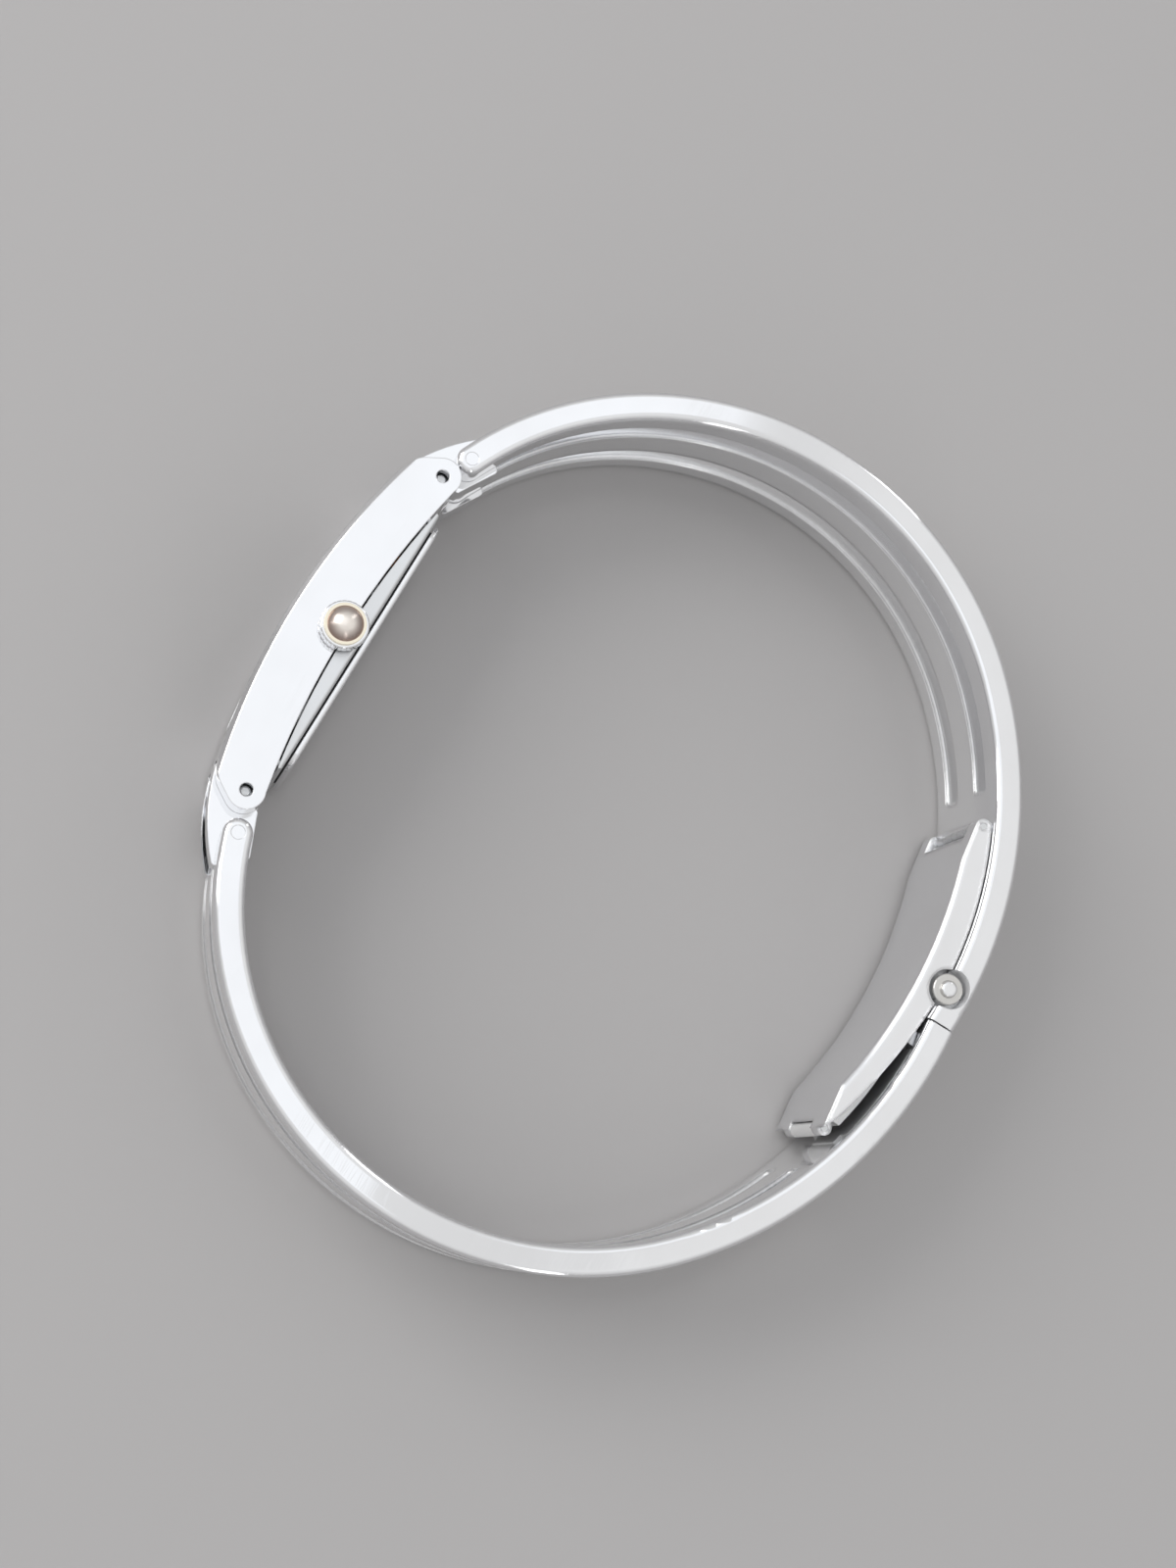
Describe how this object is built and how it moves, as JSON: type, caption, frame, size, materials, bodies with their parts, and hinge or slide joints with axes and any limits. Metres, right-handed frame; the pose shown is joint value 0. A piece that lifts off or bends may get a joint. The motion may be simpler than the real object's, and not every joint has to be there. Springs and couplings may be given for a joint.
{
  "type": "bangle watch",
  "caption": "Rectangular bangle watch: curved case with side crown, end links, two rigid three-bar band halves and a folding clasp with push buttons.",
  "frame": {"origin": "middle of the part's overall box, on the side faces that it lies on", "axes": "X from the case to the clasp, Y towards 12 o'clock, Z along the bangle's axis, with the crown on top"},
  "size_m": [0.0536, 0.062, 0.014],
  "materials": {
    "polished_steel": "mirror polished stainless steel",
    "satin_steel": "satin stainless steel",
    "gold": "polished pale rose-gold plate",
    "crystal_glass": "clear curved mineral glass",
    "gasket": "black rubber",
    "dial_face": "silvery satin lacquer",
    "hand_steel": "dark blued gloss",
    "movement_brass": "plain brass",
    "movement_cover": "moulded plastic",
    "cell_steel": "satin steel",
    "copper_wire": "lacquered copper wire",
    "board": "green resin board"
  },
  "bodies": {
    "case": {"case_frame": "polished_steel", "case_tub": "satin_steel", "case_back": "polished_steel", "back_gasket": "gasket", "tub_screws": "satin_steel", "crystal": "crystal_glass", "crystal_gasket": "gasket", "dial": "dial_face", "movement_plate": "movement_brass", "train_housing": "movement_cover", "battery": "cell_steel", "battery_strap": "cell_steel", "coil": "copper_wire", "circuit_board": "board", "quartz_can": "cell_steel", "crown_tube": "satin_steel", "spring_bar_12": "satin_steel", "spring_bar_6": "satin_steel"},
    "minute_set": {"cannon_pinion": "movement_brass", "minute_hand": "hand_steel"},
    "minute_wheel_set": {"minute_wheel": "movement_brass"},
    "hour_set": {"hour_wheel": "movement_brass", "hour_hand": "hand_steel"},
    "pull_lever": {"setting_lever": "satin_steel"},
    "crown_set": {"stem": "satin_steel", "crown": "polished_steel", "crown_cap": "gold", "crown_gasket": "gasket"},
    "link_12": {"link_arms_12": "polished_steel"},
    "band_12": {"band_half_12": "polished_steel", "link_pin_12": "satin_steel"},
    "blade": {"clasp_blade": "polished_steel", "blade_pin": "satin_steel", "leaf_pin": "satin_steel", "catch_block": "satin_steel", "button_spring": "satin_steel"},
    "leaf": {"clasp_leaf": "satin_steel"},
    "button_near": {"push_button_near": "polished_steel"},
    "button_far": {"push_button_far": "polished_steel"},
    "link_6": {"link_arms_6": "polished_steel"},
    "band_6": {"band_half_6": "polished_steel", "link_pin_6": "satin_steel", "end_pin": "satin_steel"}
  },
  "joints": [
    {"name": "minute_hand_turn", "type": "hinge", "parent": "case", "child": "minute_set", "pos_m": [-0.02279, 0.0007, 0.006], "axis": [1, 0, 0], "continuous": true},
    {"name": "minute_wheel_turn", "type": "hinge", "parent": "case", "child": "minute_wheel_set", "pos_m": [-0.02279, -0.0015, 0.006], "axis": [1, 0, 0], "continuous": true},
    {"name": "hour_hand_turn", "type": "hinge", "parent": "case", "child": "hour_set", "pos_m": [-0.02279, 0.0007, 0.006], "axis": [1, 0, 0], "continuous": true},
    {"name": "crown_pull", "type": "slide", "parent": "case", "child": "pull_lever", "axis": [0, 0, 1], "range_m": [0, 0.0006]},
    {"name": "crown_turn", "type": "hinge", "parent": "pull_lever", "child": "crown_set", "pos_m": [-0.02306, 0.0007, 0.006], "axis": [0, 0, 1], "continuous": true},
    {"name": "clasp_open", "type": "hinge", "parent": "band_6", "child": "leaf", "pos_m": [0.02419, -0.00195, 0.006], "axis": [0, 0, -1], "range_deg": [0, 124.58]},
    {"name": "blade_unfold", "type": "hinge", "parent": "leaf", "child": "blade", "pos_m": [0.0225, -0.0106, 0.006], "axis": [0, 0, 1], "range_deg": [0, 130.86]},
    {"name": "link_6_turn", "type": "hinge", "parent": "case", "child": "link_6", "pos_m": [-0.02279, -0.01198, 0.006], "axis": [0, 0, -1], "range_deg": [0, 4]},
    {"name": "band_6_turn", "type": "hinge", "parent": "link_6", "child": "band_6", "pos_m": [-0.02178, -0.01465, 0.006], "axis": [0, 0, -1], "range_deg": [0, 6]},
    {"name": "link_12_turn", "type": "hinge", "parent": "case", "child": "link_12", "pos_m": [-0.02279, 0.01338, 0.006], "axis": [0, 0, 1], "range_deg": [0, 4]},
    {"name": "band_12_turn", "type": "hinge", "parent": "link_12", "child": "band_12", "pos_m": [-0.02174, 0.01557, 0.006], "axis": [0, 0, 1], "range_deg": [0, 6]},
    {"name": "button_near_press", "type": "slide", "parent": "blade", "child": "button_near", "axis": [0, 0, -1], "range_m": [0, 0.0005], "stiffness_N_per_m": 200, "springref_m": -0.0002, "deforming": ["button_spring"]},
    {"name": "button_far_press", "type": "slide", "parent": "blade", "child": "button_far", "axis": [0, 0, 1], "range_m": [0, 0.0005], "stiffness_N_per_m": 200, "springref_m": -0.0002}
  ],
  "couplings": [
    {"joint": "minute_wheel_turn", "follows": "minute_hand_turn", "ratio": -0.33333},
    {"joint": "hour_hand_turn", "follows": "minute_hand_turn", "ratio": 0.083333},
    {"joint": "blade_unfold", "follows": "clasp_open", "ratio": 1.0505},
    {"joint": "link_6_turn", "follows": "clasp_open", "ratio": 0.032108},
    {"joint": "band_6_turn", "follows": "clasp_open", "ratio": 0.048163},
    {"joint": "link_12_turn", "follows": "clasp_open", "ratio": 0.032108},
    {"joint": "band_12_turn", "follows": "clasp_open", "ratio": 0.048163}
  ]
}
